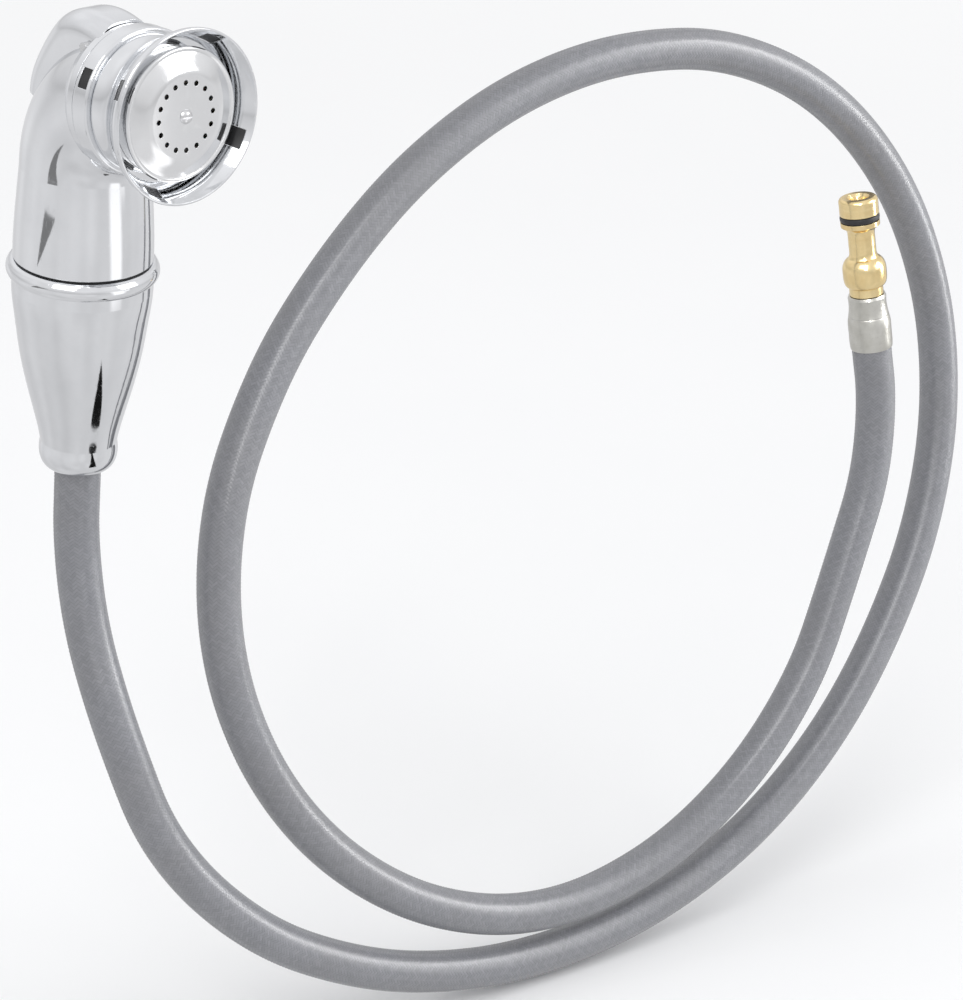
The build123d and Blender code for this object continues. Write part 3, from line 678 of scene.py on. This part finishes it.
sheet = floor()
sheet.visible_glossy = False

# ------------------------------------------------------------------ light
world = bpy.data.worlds.new("studio")
bpy.context.scene.world = world
world.use_nodes = True

# grey level of the reflected tent, from straight down (0) to straight up (1)
TENT = [(0.0, 0.66), (0.18, 0.73), (0.36, 0.81), (0.46, 0.75),
        (0.50, 0.63), (0.54, 0.71), (0.70, 0.85), (1.0, 0.95)]


def light_world():
    """Even diffuse light, a grey-to-white tent in reflections, a plain backdrop for the camera."""
    g = Graph(world.node_tree)
    direction = g.node("TexCoord").outputs["Generated"]
    height = g.map_range(g.separate(direction)[2], low=-1.0, high=1.0, curve="LINEAR")
    tent = g.ramp(height, [(at, (grey, grey, grey * 1.015)) for at, grey in TENT])
    blotches = g.noise(scale=1.7, detail=1.0, rough=0.5, vector=direction)
    gain = g.map_range(blotches, low=0.3, high=0.7, to=(0.90, 1.08), curve="LINEAR")
    uneven = g.node("VectorMath", operation="SCALE")
    g.put(uneven.inputs[0], tent)
    g.put(uneven.inputs["Scale"], gain)
    ray = g.node("LightPath").outputs
    colour = g.mix(ray["Is Glossy Ray"], (0.66, 0.665, 0.675), uneven.outputs["Vector"])
    background = world.node_tree.nodes["Background"]
    g.put(background.inputs[0], g.mix(ray["Is Camera Ray"], colour, BACKDROP))
    background.inputs[1].default_value = 1.0


light_world()


def softbox(name, at, to, width, power, height=None, mirrored=True):
    lamp = bpy.data.lights.new(name, "AREA")
    lamp.shape = "RECTANGLE"
    lamp.size = width
    lamp.size_y = height or width
    lamp.energy = power
    box = place(name, lamp)
    box.location = at
    box.rotation_euler = (Vector(to) - Vector(at)).to_track_quat("-Z", "Y").to_euler()
    box.visible_glossy = mirrored
    return box


def light_only(lamps, name, objects):
    receivers = bpy.data.collections.new(name)
    for obj in objects:
        receivers.objects.link(obj)
    for lamp in lamps:
        lamp.light_linking.receiver_collection = receivers


AIM = (0.1, -0.05, 0.0)
key = softbox("key", at=(-1.5, -0.6, 1.7), to=AIM, width=1.3, power=14.0)
softbox("fill", at=(1.2, -1.6, 1.0), to=AIM, width=1.1, power=7.0)
top = softbox("top", at=(0.15, 0.2, 2.2), to=(0.15, -0.05, 0.0), width=1.8, power=14.0,
              mirrored=False)
light_only((key, top), "off_hose",
           [obj for obj in bpy.context.scene.objects if obj.type == "MESH" and obj is not hose])

# two long strips that light only the hose and its plug, for the stripes along the braid
strips = [softbox(name, at=at, to=(0.15, -0.05, -0.05), width=0.34, height=1.6, power=power)
          for name, at, power in (("strip_a", (-1.0, -1.3, 1.35), 15.0),
                                  ("strip_b", (1.5, -1.0, 0.55), 17.0))]
light_only(strips, "hose_lit",
           [hose, nodes["inlet_ferrule"], nodes["inlet_plug"], nodes["inlet_o_ring"]])


def card(name, corners, shade, soft=0.0):
    """A flag or white strip that only reflections see; soft is the width of its faded rim."""
    mesh = bpy.data.meshes.new(name)
    mesh.from_pydata(to_scene(corners).tolist(), [], [tuple(range(len(corners)))])
    layer = mesh.uv_layers.new(name="card")
    for loop, uv in zip(layer.data, ((0.0, 1.0), (1.0, 1.0), (1.0, 0.0), (0.0, 0.0))):
        loop.uv = uv
    g = Material(name)
    shader = g.node("Emission")
    g.put(shader.inputs[0], (shade, shade, shade * 1.01))
    shader.inputs[1].default_value = 1.0
    if soft:
        fades = []
        for along in g.separate(g.uv("card"))[:2]:
            off_centre = g.math("ABSOLUTE", g.math("SUBTRACT", along, 0.5))
            fades.append(g.map_range(g.math("SUBTRACT", 0.5, off_centre), low=0.0, high=soft))
        blend = g.node("MixShader")
        g.put(blend.inputs[0], g.math("MULTIPLY", *fades))
        g.put(blend.inputs[1], g.node("BsdfTransparent").outputs[0])
        g.put(blend.inputs[2], shader.outputs[0])
        shader = blend
    mesh.materials.append(g.output(shader))
    obj = place(name, mesh)
    for ray in ("camera", "diffuse", "shadow", "transmission"):
        setattr(obj, "visible_" + ray, False)


def facing(centre, normal, half_width, half_height):
    """Corners of an upright rectangle that faces along the normal."""
    centre, normal = Vector(centre), Vector(normal).normalized()
    across = Vector((0, 0, 1)).cross(normal).normalized()
    up = normal.cross(across)
    return [tuple(centre + across * half_width * i + up * half_height * j)
            for i, j in ((-1, 1), (1, 1), (1, -1), (-1, -1))]


# corners in mm
card("flag_cone", [(-4.5, -60, 10), (-6.5, -60, -42), (20, -60, -42)], shade=0.01)
card("flag_body", [(-80, 12, 74), (-80, -13, 73), (-80, 27, 46)], shade=0.22)
card("strip_body", [(-12, -120, 95), (46, -120, 95), (60, -120, 5), (6, -120, 5)],
     shade=1.25, soft=0.28)
card("strip_face", facing(centre=(122, -247, 65), normal=(-0.61, 0.76, 0.24),
                          half_width=24, half_height=42), shade=1.15, soft=0.22)

# ------------------------------------------------------------------ camera
CAMERA_AT = (-0.5241, -0.6634, 0.4205 - SEAT_Z * MM)
CAMERA_RIGHT = (0.7109, -0.6982, 0.0839)
CAMERA_BACK = (-0.6525, -0.6104, 0.449)     # from the object towards the camera

camera_data = bpy.data.cameras.new("camera")
camera_data.lens = 108.0
camera_data.sensor_width = 36.0
camera_data.sensor_fit = "AUTO"
camera_data.clip_start = 0.01
camera_data.clip_end = 50.0
camera = place("camera", camera_data)
back = Vector(CAMERA_BACK).normalized()
up = back.cross(Vector(CAMERA_RIGHT).normalized()).normalized()
right = up.cross(back).normalized()
pose = Matrix((right, up, back)).transposed().to_4x4()
pose.translation = CAMERA_AT
camera.matrix_world = pose
scene = bpy.context.scene
scene.camera = camera
scene.view_settings.view_transform = "Standard"
scene.view_settings.look = "None"
